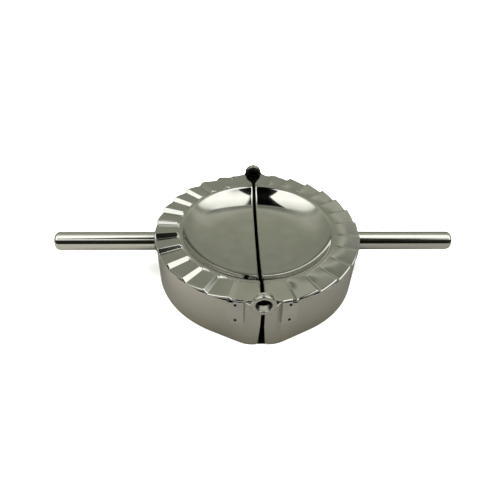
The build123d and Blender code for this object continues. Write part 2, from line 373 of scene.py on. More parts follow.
# skirts: upright walls whose ends swing out to the hinge
skirtSettings = {
    "radius": 53.3,
    "height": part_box("right_skirt")[0].z / mm + 24.8,
    "shoulderHeight": 26.2,  # the wall is this high beside the ears
    "shoulder": (8.5, 9.3),  # and rises between these distances from the slit
    "lift": 0.07,  # keeps the inner edge of a leaning foot off the floor
    "leave": 27.0,  # angle from the slit at which the foot leaves the circle
    "plainFrom": 45.0,  # angle from which the whole wall is the plain circle
    "rounds": 12,  # of closing in on the wall along a ray
    "footRounding": 14.0,
    "jog": (5.2, 9.2),  # the top swings back to the circle between these
    "upright": 22.4,  # the ear stands upright above this height
    "panel": 5.5,  # half width of the flat panel with the ear
    "edgeMiddle": 12.5,  # height where the edge starts to flare
    "cornerRounding": 2.0,
    "cornerSteps": 6,
    "lobeRise": 1.4,  # the ear's round outline starts this far above the pivot
    "lobeDrop": 1.0,  # and its lower half is centred this far below it
    "lobeSteps": (36, 16),
    "lobeFlat": 0.5,
    "boreSegments": 48,
    "columns": 0.9,  # degrees between the columns near the ears, and how many those are
    "nearColumns": 24,
    "sideColumns": 1.8,
    "rows": (0.4, 1.2, 3, 6, 9, 12, 15, 18, 20.5, 22.5, 23.8, 24.5, 24.8),
    "handleHole": 4.75,
    "holeSides": 20,
    "holeMargin": 3,
    "mergeWithin": 0.001,
    "edgeWidth": 0.18,
}


def wallDistance(x, z, half, end):  # how far out the wall stands at x from the slit and height z
    s = skirtSettings
    leave = math.radians(s["leave"])
    circle = math.sqrt(max(0.0, s["radius"] ** 2 - x * x))
    foot = half["footFace"][end]
    meet = (s["radius"] - foot * math.cos(leave)) / math.sin(leave)
    reach = s["footRounding"] * math.tan(leave / 2)
    if x > s["radius"] * math.sin(leave):
        foot = circle
    elif x > meet + reach * math.cos(leave):
        foot = (s["radius"] - x * math.sin(leave)) / math.cos(leave)
    elif x > meet - reach:
        past = x - (meet - reach)
        foot += math.sqrt(s["footRounding"] ** 2 - past * past) - s["footRounding"]
    top = circle + (half["earFace"] - circle) * (1 - smooth(x, *s["jog"]))
    return foot + (top - foot) * min(1.0, z / s["upright"])


def wallRadius(angle, z, half, end):  # the same wall along a ray at this angle from the slit
    radius = skirtSettings["radius"]
    if angle < math.radians(skirtSettings["plainFrom"]):
        for _ in range(skirtSettings["rounds"]):
            radius = wallDistance(radius * math.sin(angle), z, half, end) / math.cos(angle)
    return radius


def addEar(bm, columnEdges, rivet, half):
    s = skirtSettings
    end = rivet["end"]
    face = end * half["earFace"]
    radius = rivet[half["earRadius"]]
    top, middle, foot = half["edge"][end]
    column = sorted(vertsOf(columnEdges), key=lambda vert: vert.co.z)
    before = set(bm.edges)
    # outline of the end: shoulder, lobe, edge beside the slit and foot
    rise = math.asin(s["lobeRise"] / radius)
    tip = lineTo(bm, column[-1], (radius * math.cos(rise), face, hingeHeight + s["lobeRise"]))
    tip = arcRound(bm, tip, (0, face, hingeHeight), (0, 1, 0), math.degrees(rise) - 180, s["lobeSteps"][0])
    low = hingeHeight - s["lobeDrop"]
    tip = lineTo(bm, tip, (-radius, face, low))
    sweep = math.degrees(math.acos(-min(top, -s["lobeFlat"]) / radius))
    tip = arcRound(bm, tip, (0, face, low), (0, 1, 0), -sweep, s["lobeSteps"][1])
    if top > 0:
        tip = lineTo(bm, tip, (top, face, low - radius))
    tip = lineTo(bm, tip, (middle, face, s["edgeMiddle"]))
    tip = lineTo(bm, tip, (foot, face, s["cornerRounding"] + s["lift"]))
    corner = (foot + s["cornerRounding"], face, s["cornerRounding"] + s["lift"])
    tip = arcRound(bm, tip, corner, (0, 1, 0), -90, s["cornerSteps"])
    bm.edges.new((tip, column[0]))
    bmesh.ops.create_circle(
        bm, cap_ends=False, radius=rivet["barrel"] + half["boreSlack"], segments=s["boreSegments"],
        matrix=Matrix.Translation((0, face, hingeHeight)) @ Matrix.Rotation(math.pi / 2, 4, "X"))
    outline = [edge for edge in bm.edges if edge not in before] + columnEdges
    made = bmesh.ops.triangle_fill(bm, edges=outline, use_beauty=True, use_dissolve=False)["geom"]
    panel = [part for part in made if isinstance(part, bmesh.types.BMFace)]
    cutAcross(bm, panel, (0, 0, s["upright"]), (0, 0, 1))


def makeSkirt(name, half):
    s = skirtSettings
    bm = bmesh.new()
    tip = bm.verts.new((0, -s["radius"], s["lift"]))
    for row in s["rows"]:
        tip = lineTo(bm, tip, (0, -s["radius"], row))
    first = math.degrees(math.asin(s["panel"] / half["earFace"]))
    near = [first + s["columns"] * step for step in range(s["nearColumns"])]
    startEdges = bm.edges[:]
    endEdges = turned(bm, near + [180 - angle for angle in reversed(near)], s["sideColumns"])
    for vert in bm.verts:
        angle = math.atan2(vert.co.x, abs(vert.co.y))
        end = math.copysign(1, vert.co.y)
        x = wallRadius(angle, vert.co.z, half, end) * math.sin(angle)
        rise = (s["shoulderHeight"] - s["height"]) * (1 - smooth(x, *s["shoulder"]))
        z = vert.co.z * (1 + rise / s["height"])
        radius = wallRadius(angle, z, half, end)
        vert.co = (radius * math.sin(angle), end * radius * math.cos(angle), z)
    cutHandleHole(bm)
    for edges, rivet in ((startEdges, rivets["front"]), (endEdges, rivets["rear"])):
        for vert in vertsOf(edges):
            vert.co = (s["panel"], rivet["end"] * half["earFace"], vert.co.z)
        addEar(bm, edges, rivet, half)
    for vert in bm.verts:
        if vert.co.x < s["panel"] + nearly:
            end = math.copysign(1, vert.co.y)
            vert.co.y = end * wallDistance(max(0.0, vert.co.x), vert.co.z, half, end)
    bmesh.ops.remove_doubles(bm, verts=bm.verts[:], dist=s["mergeWithin"])
    mirrorLeft(bm, half)
    faceOutwards(bm, lambda face: face.normal.xy.dot(face.calc_center_median().xy) > 0)
    piece = toPiece(bm, name + "_skirt_wall", skirtFinish, name + "_half", "satin_steel", name + "_skirt")
    giveGauge(piece, s["edgeWidth"])


def cutHandleHole(bm):  # planes all round the handle cut the wall, and what they enclose is removed
    s = skirtSettings

    def near(face, reach):
        centre = face.calc_center_median()
        return math.hypot(centre.y, centre.z - handleHeight) < reach
    for side in range(s["holeSides"]):
        turn = 2 * math.pi * side / s["holeSides"]
        away = Vector((0, math.cos(turn), math.sin(turn)))
        around = [face for face in bm.faces if near(face, s["handleHole"] + s["holeMargin"])]
        cutAcross(bm, around, Vector((0, 0, handleHeight)) + away * s["handleHole"], away)
    inner = s["handleHole"] * math.cos(math.pi / s["holeSides"])
    gone = [face for face in bm.faces if near(face, inner)]
    bmesh.ops.delete(bm, geom=gone, context="FACES")


for name, half in halves.items():
    makeSkirt(name, half)
print("skirts made")


# bowls: a dished half disc with a pleated flange and two folded tabs
bowlSettings = {
    "rim": 53.75,
    "pleatHeight": 0.95,
    "steps": (16.0, 29.0, 42.1, 55.4, 68.9, 82.1, 95.0, 107.5, 119.8, 131.7, 143.5, 155.9, 168.2),
    "edgeWidth": 0.08,
    "mergeWithin": 0.002,
    "shortEdge": 0.1,  # no edge of the border is shorter, so that its bevel has room
    "foldColumns": (-1.3, -0.5, 0, 0.5, 1.3),  # columns at each fold, in its roundings
    "foldSamples": (-0.5, -0.25, 0, 0.25, 0.5),  # the height is the middle of those at these
    "lineGap": 0.16,  # degrees that lie at least between two columns
    "rimRoll": 0.85,  # the flange's outer edge rolls down
    "rimTurn": 88,
    "rimSteps": 9,
    "rollStart": (13.4, 15.6),  # but stays flat near the slit, up to these distances from it
    "axisGap": 0.2,  # the profile starts this far from the middle
    # arcs of the profile: radius, slope at its end and steps; the lip ends in a low ridge
    "dish": ((260.0, 5.1, 12), (34.0, 19.0, 12), (21.6, 43.0, 16)),
    "lip": (2.6, -12.0, 16),
    "hollow": (1.5, 0.0, 6),
    "slit": 0.7,
    "rollRadius": 1.0,  # the edges along the slit roll down
    "rollRows": (0.1, 0.25, 0.45, 0.7, 1.0, 1.5),
    "flangeRows": (41.6, 41.8, 42.1, 42.4, 42.8, 43.4, 44.5, 46, 48, 50, 51.5, 52.4),
    "relief": {-1: ((0, 50.2), (0.8, 50.3), (4.6, 52.5), (8.8, 53.06)),  # room for the hinge, by end
               1: ((0, 45.8), (0.8, 45.9), (4.5, 53.35), (8.8, 53.4))},
    "reliefMargin": (2, 4),
    "columns": 1.5,
    "overrun": 4.0,  # degrees past the slit, before it is cut
}
bowlSettings["flangeTop"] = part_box("right_bowl")[1].z / mm - bowlSettings["pleatHeight"]
tabSettings = {
    "near": 8.8,
    "root": 13.3,  # the flange folds down from the near edge to here
    "far": 16.1,
    "bottom": 12.7,
    "foldRadius": 1.3,
    "foldSteps": 8,
    "clearance": 0.12,
    "cornerRounding": 1.5,
    "shoulderDrop": 0.35,
    "give": 2.5,  # how far into the flange the fold draws the sheet
    "within": 17,  # the flange is cut for the tab nearer to the slit than this
    "beyond": 46,  # and farther from the middle than this
    "rows": (23.5, 22, 20, 18, 16),
    "cornerSteps": 6,
}


def foldList(half):  # angle and height of each fold line, from the front slit to the rear one
    s = bowlSettings
    side = half["side"]
    width = math.degrees(half["stepWidth"] / s["rim"])
    folds = [(-s["overrun"], 0.0)]
    for angle in s["steps"]:
        before = 0.0 if angle == s["steps"][0] else side * s["pleatHeight"]
        after = 0.0 if angle == s["steps"][-1] else -side * s["pleatHeight"]
        folds += [(angle - width / 2, before), (angle + width / 2, after)]
    return folds + [(180 + s["overrun"], 0.0)]


def foldHeight(folds, angle):
    for (before, low), (after, high) in zip(folds, folds[1:]):
        if angle <= after:
            share = (angle - before) / (after - before)
            return low + (high - low) * share
    return 0.0


def shapePleats(bm, folds, width, start):
    s = bowlSettings
    for vert in bm.verts:
        radius = math.hypot(vert.co.x, vert.co.y)
        if radius > start[0]:
            angle = math.degrees(math.atan2(vert.co.x, -vert.co.y))
            angle = angle + 360 if angle < -90 else angle
            height = sum(foldHeight(folds, angle + width * share) for share in s["foldSamples"])
            vert.co.z += height / len(s["foldSamples"]) * smooth(radius, *start) * radius / s["rim"]


def easeRimRoll(bm):
    s = bowlSettings
    for vert in bm.verts:
        past = math.hypot(vert.co.x, vert.co.y) - (s["rim"] - s["rimRoll"])
        if past > 0:
            drop = s["rimRoll"] - math.sqrt(max(0.0, s["rimRoll"] ** 2 - past ** 2))
            vert.co.z += drop * (1 - smooth(vert.co.x, *s["rollStart"]))


def cutRelief(bm, end):  # clearance round the hinge
    relief = bowlSettings["relief"][end]
    widest, deepest = relief[-1][0], relief[0][1]
    aside, inwards = bowlSettings["reliefMargin"]

    def nearHinge():
        for face in bm.faces:
            centre = face.calc_center_median()
            if centre.x < widest + aside and centre.y * end > deepest - inwards:
                yield face
    for (x0, y0), (x1, y1) in zip(relief, relief[1:]):
        cutAcross(bm, list(nearHinge()), (x0, end * y0, 0), (y0 - y1, end * (x1 - x0), 0))
    cutAcross(bm, list(nearHinge()), (widest, 0, 0), (1, 0, 0))
    gone = []
    for face in nearHinge():
        x, y = face.calc_center_median().x, face.calc_center_median().y * end
        for (x0, y0), (x1, y1) in zip(relief, relief[1:]):
            if x0 < x <= x1 and y > y0 + (y1 - y0) * (x - x0) / (x1 - x0):
                gone.append(face)
    bmesh.ops.delete(bm, geom=gone, context="FACES")


def rollSlitEdge(bm):
    s = bowlSettings
    for row in s["rollRows"]:
        near = [face for face in bm.faces if min(v.co.x for v in face.verts) < s["slit"] + row]
        cutAcross(bm, near, (s["slit"] + row, 0, 0), (1, 0, 0))
    for vert in bm.verts:
        left = s["rollRadius"] - max(0.0, vert.co.x - s["slit"])
        if left > 0:
            vert.co.z -= s["rollRadius"] - math.sqrt(s["rollRadius"] ** 2 - left ** 2)


def tabSpan(z, half):  # near and far edge of the tab at this height
    t = tabSettings
    far = t["far"] if z < half["tabShoulder"] - t["shoulderDrop"] else t["root"]
    left = t["cornerRounding"] - (z - t["bottom"])
    inset = t["cornerRounding"] - math.sqrt(t["cornerRounding"] ** 2 - left ** 2) if left > 0 else 0.0
    return t["near"] + inset, far - inset


def addTab(bm, end, half):
    s, t = bowlSettings, tabSettings
    turn = t["foldRadius"]

    def face(x, z):
        return wallDistance(x, z, half, end) + t["clearance"] + sheet

    def inFold(vert):
        return t["near"] - nearly < vert.co.x < t["root"] + nearly

    def atFold(vert):
        return inFold(vert) and vert.co.y * end > face(vert.co.x, s["flangeTop"]) - turn - 10 * nearly
    for x in (t["near"], t["root"]):
        centres = {part: part.calc_center_median() for part in bm.faces}
        near = [part for part, at in centres.items() if at.y * end > t["beyond"] and at.x < t["within"]]
        cutAcross(bm, near, (x, 0, 0), (1, 0, 0))
    for vert in bm.verts:
        if inFold(vert) and vert.co.y * end > t["beyond"]:
            rim = math.sqrt(s["rim"] ** 2 - vert.co.x ** 2)
            share = max(0.0, 1 - (rim - vert.co.y * end) / t["give"])
            vert.co.y -= end * share * (rim + turn - face(vert.co.x, s["flangeTop"]))
    edges = [edge for edge in bm.edges if edge.is_boundary and all(atFold(vert) for vert in edge.verts)]
    # rows of the tab: down round the fold, past the shoulder and to the rounded corners
    arc = [math.pi / 2 * step / t["foldSteps"] for step in range(1, t["foldSteps"] + 1)]
    rows = [(turn * math.sin(a), s["flangeTop"] - turn * (1 - math.cos(a))) for a in arc]
    shoulder = half["tabShoulder"]
    quarter = [math.pi / 2 * step / t["cornerSteps"] for step in range(t["cornerSteps"] + 1)]
    heights = [shoulder, shoulder - t["shoulderDrop"] - nearly / 10, *t["rows"]]
    heights += [t["bottom"] + t["cornerRounding"] * (1 - math.sin(a)) for a in quarter]
    rows += [(turn, z) for z in heights]
    span = (t["near"], t["root"])
    for out, z in rows:
        edges = onlyEdges(bmesh.ops.extrude_edge_only(bm, edges=edges)["geom"])
        nextSpan = tabSpan(z, half)
        for vert in vertsOf(edges):
            share = (vert.co.x - span[0]) / (span[1] - span[0])
            x = nextSpan[0] + share * (nextSpan[1] - nextSpan[0])
            vert.co = (x, end * (face(x, z) - turn + out), z)
        span = nextSpan


def makeBowl(name, half):
    s = bowlSettings
    bm = bmesh.new()
    # profile: a dish whose sides steepen, a lip and the level flange
    tip = bm.verts.new((0, -s["axisGap"], 0))
    slope = 0.0
    for radius, after, steps in (*s["dish"], s["lip"], s["hollow"]):
        bend = math.copysign(1, after - slope)
        away = Vector((0, math.sin(math.radians(slope)), math.cos(math.radians(slope)))) * radius * bend
        tip = arcRound(bm, tip, tip.co + away, (1, 0, 0), slope - after, steps)
        slope = after
    bmesh.ops.translate(bm, verts=bm.verts[:], vec=(0, 0, s["flangeTop"] - tip.co.z))
    for row in s["flangeRows"]:
        tip = lineTo(bm, tip, (0, -row, s["flangeTop"]))
    tip = lineTo(bm, tip, (0, s["rimRoll"] - s["rim"], s["flangeTop"]))
    centre = (0, s["rimRoll"] - s["rim"], s["flangeTop"] - s["rimRoll"])
    arcRound(bm, tip, centre, (1, 0, 0), s["rimTurn"], s["rimSteps"])
    # swept round half a turn, with columns along every fold
    folds = foldList(half)
    width = math.degrees(half["foldRounding"] / s["rim"])
    lines = [folds[0][0]]
    for line in sorted(angle + width * share for angle, _ in folds[1:-1] for share in s["foldColumns"]):
        if line - lines[-1] > s["lineGap"]:
            lines.append(line)
    turned(bm, lines + [folds[-1][0]], s["columns"])
    easeRimRoll(bm)
    shapePleats(bm, folds, width, half["pleatStart"])
    bmesh.ops.bisect_plane(
        bm, geom=bm.verts[:] + bm.edges[:] + bm.faces[:], plane_co=(s["slit"], 0, 0), plane_no=(-1, 0, 0),
        clear_outer=True)
    for end in (-1, 1):
        cutRelief(bm, end)
    rollSlitEdge(bm)
    for end in (-1, 1):
        addTab(bm, end, half)
    putInOrder(bm)
    bmesh.ops.remove_doubles(bm, verts=bm.verts[:], dist=s["mergeWithin"])
    border = [vert for vert in bm.verts if vert.is_boundary]
    bmesh.ops.remove_doubles(bm, verts=border, dist=s["shortEdge"])
    mirrorLeft(bm, half)
    faceOutwards(bm, lambda face: face.normal.z > 0)
    piece = toPiece(bm, name + "_bowl_shell", bowlFinish, name + "_half", "polished_steel", name + "_bowl")
    giveGauge(piece, s["edgeWidth"])


for name, half in halves.items():
    makeBowl(name, half)
print("bowls made")


# spot welds that hold the tabs to the skirts: a raised ring round a sunk middle
weldSettings = {
    "across": 12.45,  # distance of the welds from the slit
    "heights": (24.0, 14.7),
    "radius": 0.75,
    "spread": 0.05,  # the buried foot is this much wider
    "rise": 0.12,
    "ringTurn": 120,
    "ringSteps": 5,
    "base": 0.03,
    "sunk": (0.2, 0.02),  # radius and height of the flat middle
    "bury": 0.3,
    "steps": 24,
}


def addSpotWeld(bm, x, z, end, half):
    s = weldSettings
    known = set(bm.verts)
    tip = bm.verts.new((s["radius"] + s["spread"], -s["bury"], 0))
    tip = lineTo(bm, tip, (s["radius"], s["base"], 0))
    tip = arcRound(bm, tip, (s["radius"] - s["rise"], 0, 0), (0, 0, 1), s["ringTurn"], s["ringSteps"])
    tip = lineTo(bm, tip, (*s["sunk"], 0))
    lineTo(bm, tip, (0, s["sunk"][1], 0))
    new = [vert for vert in bm.verts if vert not in known]
    outline = new + list({edge for vert in new for edge in vert.link_edges})
    bmesh.ops.spin(
        bm, geom=outline, cent=(0, 0, 0), axis=(0, 1, 0), dvec=(0, 0, 0),
        angle=math.radians(360), steps=s["steps"], use_merge=True)
    new = [vert for vert in bm.verts if vert not in known]
    surface = wallDistance(x, z, half, end) + tabSettings["clearance"] + sheet
    slant = math.atan2(wallDistance(x - 1, z, half, end) - wallDistance(x + 1, z, half, end), 2)
    bmesh.ops.rotate(bm, verts=new, cent=(0, 0, 0), matrix=Matrix.Rotation(-slant, 3, "Z"))
    bmesh.ops.translate(bm, verts=new, vec=(x, surface, z))
    if end < 0:
        bmesh.ops.scale(bm, vec=(1, -1, 1), verts=new)


def makeTabWelds(name, half, place, end):
    bm = bmesh.new()
    for z in weldSettings["heights"]:
        addSpotWeld(bm, weldSettings["across"], z, end, half)
    bmesh.ops.remove_doubles(bm, verts=bm.verts[:], dist=touching)
    mirrorLeft(bm, half)
    faceOutwards(bm, lambda face: face.normal.y * end > 0)
    toPiece(
        bm, f"{name}_{place}_spot_welds", scorchFinish, name + "_half", "weld_steel",
        f"{name}_{place}_tab_welds")


for name, half in halves.items():
    for place, rivet in rivets.items():
        makeTabWelds(name, half, place, rivet["end"])
print("spot welds made")


# hinge: hollow rivets and their washers
hingeSettings = {
    "outerFace": 55.9,
    "headThickness": 0.8,
    "headRounding": 0.6,
    "mouthRounding": 0.45,
    "headSteps": 8,
    "mouthSteps": 6,
    "flareSteps": 4,
    "wall": 0.7,
    "washerFace": 54.14,
    "washerThickness": 0.8,
    "washerOverhang": 0.7,
    "washerSlack": 0.06,
    "flareThickness": 0.5,
    "flareOverhang": 0.5,
    "flareRounding": (0.1, 0.2),  # beside the washer and at the back
    "flareBreak": 0.15,
    "steps": 96,
    "rivetEdge": (0.08, 60),  # width of the broken edges, and the angle from which one is broken
    "washerEdge": (0.12, 40),
}


def finishHingePart(bm, place, rivet, ending, node):
    bmesh.ops.translate(bm, verts=bm.verts[:], vec=(0, 0, hingeHeight))
    if rivet["end"] < 0:
        bmesh.ops.scale(bm, vec=(1, -1, 1), verts=bm.verts[:])
        bmesh.ops.recalc_face_normals(bm, faces=bm.faces[:])
    return toPiece(
        bm, f"{place}_{ending}", rivetFinishes[place], "right_half", "rivet_steel", f"{place}_{node}")


def makeRivet(place, rivet):
    s = hingeSettings
    bm = bmesh.new()
    bore = rivet["barrel"] - s["wall"]
    front = s["outerFace"] + s["headThickness"]
    flare = s["washerFace"] - s["washerThickness"]
    back = flare - s["flareThickness"]
    mouth, rounding = s["mouthRounding"], s["headRounding"]
    flareEdge = rivet["barrel"] + s["flareOverhang"]
    before, after = s["flareRounding"]
    first = tip = bm.verts.new((bore, back, 0))
    if rivet["cover"]:  # a closed head, its bore with a round bottom
        tip = lineTo(bm, tip, (bore, front - rivet["cover"] - mouth, 0))
        centre = (bore - mouth, front - rivet["cover"] - mouth, 0)
        tip = arcRound(bm, tip, centre, (0, 0, 1), 90, s["mouthSteps"])
        lineTo(bm, tip, (0, front - rivet["cover"], 0))
        tip = bm.verts.new((0, front, 0))
    else:
        tip = lineTo(bm, tip, (bore, front - mouth, 0))
        tip = arcRound(bm, tip, (bore + mouth, front - mouth, 0), (0, 0, 1), -90, s["mouthSteps"])
    tip = lineTo(bm, tip, (rivet["head"] - rounding, front, 0))
    centre = (rivet["head"] - rounding, front - rounding, 0)
    tip = arcRound(bm, tip, centre, (0, 0, 1), -90, s["headSteps"])
    tip = lineTo(bm, tip, (rivet["head"], s["outerFace"], 0))
    tip = lineTo(bm, tip, (rivet["barrel"], s["outerFace"], 0))
    tip = lineTo(bm, tip, (rivet["barrel"], flare, 0))
    tip = lineTo(bm, tip, (flareEdge - before, flare, 0))
    tip = arcRound(bm, tip, (flareEdge - before, flare - before, 0), (0, 0, 1), -90, s["flareSteps"])
    tip = lineTo(bm, tip, (flareEdge, back + after, 0))
    tip = arcRound(bm, tip, (flareEdge - after, back + after, 0), (0, 0, 1), -90, s["flareSteps"])
    tip = lineTo(bm, tip, (bore + s["flareBreak"], back, 0))
    bm.edges.new((tip, first))
    spunWhole(bm, (0, 0, 0), (0, 1, 0), s["steps"])
    piece = finishHingePart(bm, place, rivet, "hollow_rivet", "hinge_eyelet")
    breakEdges(piece, *s["rivetEdge"])


def makeWasher(place, rivet):
    s = hingeSettings
    bm = bmesh.new()
    inner, outer = rivet["barrel"] + s["washerSlack"], rivet["barrel"] + s["washerOverhang"]
    back = s["washerFace"] - s["washerThickness"]
    first = tip = bm.verts.new((inner, back, 0))
    for x, y in ((inner, s["washerFace"]), (outer, s["washerFace"]), (outer, back)):
        tip = lineTo(bm, tip, (x, y, 0))
    bm.edges.new((tip, first))
    spunWhole(bm, (0, 0, 0), (0, 1, 0), s["steps"])
    piece = finishHingePart(bm, place, rivet, "plain_washer", "hinge_washer")
    breakEdges(piece, *s["washerEdge"])


for place, rivet in rivets.items():
    makeRivet(place, rivet)
    makeWasher(place, rivet)
print("hinge made")


# handles: a tube with a pressed-in end cap, welded to the skirt
handleSettings = {
    "radius": 5.0,
    "wall": 0.8,
    "spigot": 4.7,  # the tube is turned down to this inside the wall
    "spigotBreak": 0.2,
    "root": 51.6,
    "end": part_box("right_handle_cap")[1].x / mm,
    "capLength": 2.9,
    "capRounding": 2.4,
    "capSteps": 12,
    "plugLength": 4.0,
    "seam": 0.04,  # both edges of the joint between tube and cap are broken by this
    "seamEdge": (0.03, 30),
    "beadWidth": 1.0,
    "beadDepth": 0.6,
    "beadSteps": 8,
    "beadEdge": (0.05, 60),
    "ripples": 26,
    "rippleHeight": 0.07,
    "rippleFrom": 0.1,  # how far outside the tube the bead's ripples start
    "rippleSteps": 4,
    "steps": 96,
}


def finishHandlePart(bm, name, half, ending, material, slot, node):
    bmesh.ops.translate(bm, verts=bm.verts[:], vec=(0, 0, handleHeight))
    mirrorLeft(bm, half)
    bmesh.ops.recalc_face_normals(bm, faces=bm.faces[:])
    return toPiece(bm, f"{name}_{ending}", material, name + "_half", slot, f"{name}_{node}")


def makeTube(name, half):
    s = handleSettings
    bm = bmesh.new()
    face = skirtSettings["radius"] + s["beadWidth"]
    seam = s["end"] - s["capLength"]
    bore = s["radius"] - s["wall"]
    first = tip = bm.verts.new((s["root"], 0, bore))
    outline = (
        (s["root"], s["spigot"] - s["spigotBreak"]), (s["root"] + s["spigotBreak"], s["spigot"]),
        (face, s["spigot"]), (face, s["radius"]),
        (seam - s["seam"], s["radius"]), (seam, s["radius"] - s["seam"]), (seam, bore))
    for x, r in outline:
        tip = lineTo(bm, tip, (x, 0, r))
    bm.edges.new((tip, first))
    spunWhole(bm, (0, 0, 0), (1, 0, 0), s["steps"])
    piece = finishHandlePart(bm, name, half, "grip_tube", tubeFinish, "handle_steel", "handle_tube")
    breakEdges(piece, *s["seamEdge"])


def makeCap(name, half):
    s = handleSettings
    bm = bmesh.new()
    seam = s["end"] - s["capLength"]
    bore = s["radius"] - s["wall"]
    tip = bm.verts.new((seam - s["plugLength"], 0, 0))
    outline = (
        (seam - s["plugLength"], bore), (seam, bore), (seam, s["radius"] - s["seam"]),
        (seam + s["seam"], s["radius"]), (s["end"] - s["capRounding"], s["radius"]))
    for x, r in outline:
        tip = lineTo(bm, tip, (x, 0, r))
    centre = (s["end"] - s["capRounding"], 0, s["radius"] - s["capRounding"])
    tip = arcRound(bm, tip, centre, (0, 1, 0), 90, s["capSteps"])
    lineTo(bm, tip, (s["end"], 0, 0))
    spunWhole(bm, (0, 0, 0), (1, 0, 0), s["steps"])
    piece = finishHandlePart(bm, name, half, "grip_cap", tubeFinish, "handle_steel", "handle_cap")
    breakEdges(piece, *s["seamEdge"])


def makeBead(name, half):
    s = handleSettings
    bm = bmesh.new()
    wall = skirtSettings["radius"]
    first = tip = bm.verts.new((wall - s["beadDepth"], 0, s["spigot"]))
    tip = lineTo(bm, tip, (wall + s["beadWidth"], 0, s["spigot"]))
    tip = lineTo(bm, tip, (wall + s["beadWidth"], 0, s["radius"]))
    tip = arcRound(bm, tip, (wall, 0, s["radius"]), (0, 1, 0), -90, s["beadSteps"])
    tip = lineTo(bm, tip, (wall - s["beadDepth"], 0, s["radius"] + s["beadWidth"]))
    bm.edges.new((tip, first))
    spunWhole(bm, (0, 0, 0), (1, 0, 0), s["rippleSteps"] * s["ripples"])
    for vert in bm.verts:
        radius = math.hypot(vert.co.y, vert.co.z)
        ripple = math.cos(s["ripples"] * math.atan2(vert.co.y, vert.co.z)) * s["rippleHeight"]
        if radius > s["radius"] + s["rippleFrom"]:
            vert.co.x -= wall - math.sqrt(wall ** 2 - vert.co.y ** 2)
            vert.co.y -= vert.co.y / radius * abs(ripple)
            vert.co.z -= vert.co.z / radius * abs(ripple)
    piece = finishHandlePart(bm, name, half, "weld_bead", weldFinish, "weld_steel", "handle_weld")
    breakEdges(piece, *s["beadEdge"])


for name, half in halves.items():
    makeTube(name, half)
    makeCap(name, half)
    makeBead(name, half)
print("handles made")


# studio: a pale floor under a white dome, and a room that only the metal mirrors
studioSettings = {
    "floor": 3000,
    "floorDrop": 0.05,  # the floor lies this far below the feet
    "floorRoughness": 0.9,
    "floorSeen": "#F6F6F4",
    # painted shadow: the floor is coloured dark below the slit and the right half
    "floorPaintedShade": "#191816",  # the floor below the slit and the right half, where little light gets
    "underRadius": (55.5, 52.7),  # how far from the middle that reaches, below the slit and beside it
    "underSlit": (3.5, 4.5),  # distance from the slit where the one radius passes into the other
    "underLeft": (-3.0, -1.6),  # where it starts and is full, from the left
    # painted shade in reflections: the floor is given darker copies of its colour for mirror rays, the
    # right one darker
    "floorShadeInMirrors": ("#83827A", "#6C6B65"),  # what the metal mirrors of the floor, left and right
    "across": (-70, -20),  # where the one passes into the other
    # painted shade: the floor as the metal mirrors it turns nearly black towards the far wall
    "floorShadeBehind": "#161614",  # what the metal mirrors of the floor towards the far wall
    "behind": (2, 50),  # where that begins and is full
    "dome": 6.5,
    "domeEdge": (0.4, 0.75),  # sine of the elevation where the dome's light begins and is full
    "mirrored": 1.62,
    "start": -60,  # the room's bands start at this elevation
    # elevation, seen from the side: 0 is the far wall, 90 overhead and 180 behind the camera
    "bands": (
        (-12, "#1A1A18"), (2, "#262722"), (9, "#55574E"), (15, "#787A6E"), (30, "#75776B"),
        (37, "#787A6D"), (43, "#7F8172"), (50, "#8B8D80"), (55, "#8F9184"), (60, "#696B61"),
        (64, "#5D5F55"), (66.5, "#DCDDD5"), (75, "#E8EAE2"), (89, "#FBFCF6"), (103, "#EDEEE7"),
        (111, "#CDCEC8"), (116, "#8E8F89"), (119.5, "#2A2B26"), (124, "#10110C"), (153, "#0A0B05"),
        (170, "#0D0D05"), (179, "#221F16"), (192, "#747266"), (206, "#898579"), (221, "#8F8B7F"),
        (239, "#868277"), (260, "#726E63"), (290, "#1A1A18")),
    "sideBands": (
        (-12, "#1A1A18"), (2, "#262722"), (9, "#55574E"), (15, "#74766A"), (30, "#75776B"),
        (37, "#787A6D"), (43, "#7F8172"), (50, "#8B8D80"), (55, "#8F9184"), (60, "#7D7F73"),
        (64, "#83857A"), (69.5, "#CCCEC5"), (77, "#E4E6DD"), (89, "#FBFCF6"), (122, "#F5F6F0"),
        (130, "#B9BAB4"), (137, "#22231E"), (172, "#100F0B"), (179, "#221F16"), (192, "#747266"),
        (206, "#898579"), (239, "#868277"), (260, "#726E63"), (290, "#1A1A18")),
    "besideMiddle": 0.15,  # how far to the right the bands have their middle
    "beside": (0.24, 0.38),  # the side bands begin and are full at these distances from it
    "stripBands": ((0, "#000000"), (1, "#D8DACF"), (6, "#D8DACF"), (8, "#000000")),
    "strip": (0.06, 0.2),  # the strip of light low on the far wall fades out between these, to the right
    "gapBands": ((64, "#FFFFFF"), (66, "#000000"), (119, "#000000"), (120.5, "#FFFFFF")),
    "gapMiddle": -0.023,
    "gap": (0.125, 0.38),  # half width of the dark gap between the panels overhead, and where it flares
    "gapFlare": (95, 118),
    "gapEdge": 0.02,
    "farSide": (0.84, 0.94),  # the room darkens to a share of its light between these, left and right
    "farLight": 0.12,
}


def turnShare(angle):  # an elevation as a share of the turn that the bands take
    return (angle - studioSettings["start"]) / 360


def addBands(tree, elevation, bands):
    ramp = addNode(tree, "ShaderNodeValToRGB", {}, {"Fac": elevation})
    setRamp(ramp, [(turnShare(angle), colour) for angle, colour in bands])
    return ramp.outputs["Color"]


def inMetres(lengths):
    return [length * mm for length in lengths]


def addDistance(tree, place, middle):
    away = addNode(tree, "ShaderNodeMath", {"operation": "SUBTRACT", 1: middle}, {0: place})
    away = addNode(tree, "ShaderNodeMath", {"operation": "ABSOLUTE"}, {0: away.outputs["Value"]})
    return away.outputs["Value"]


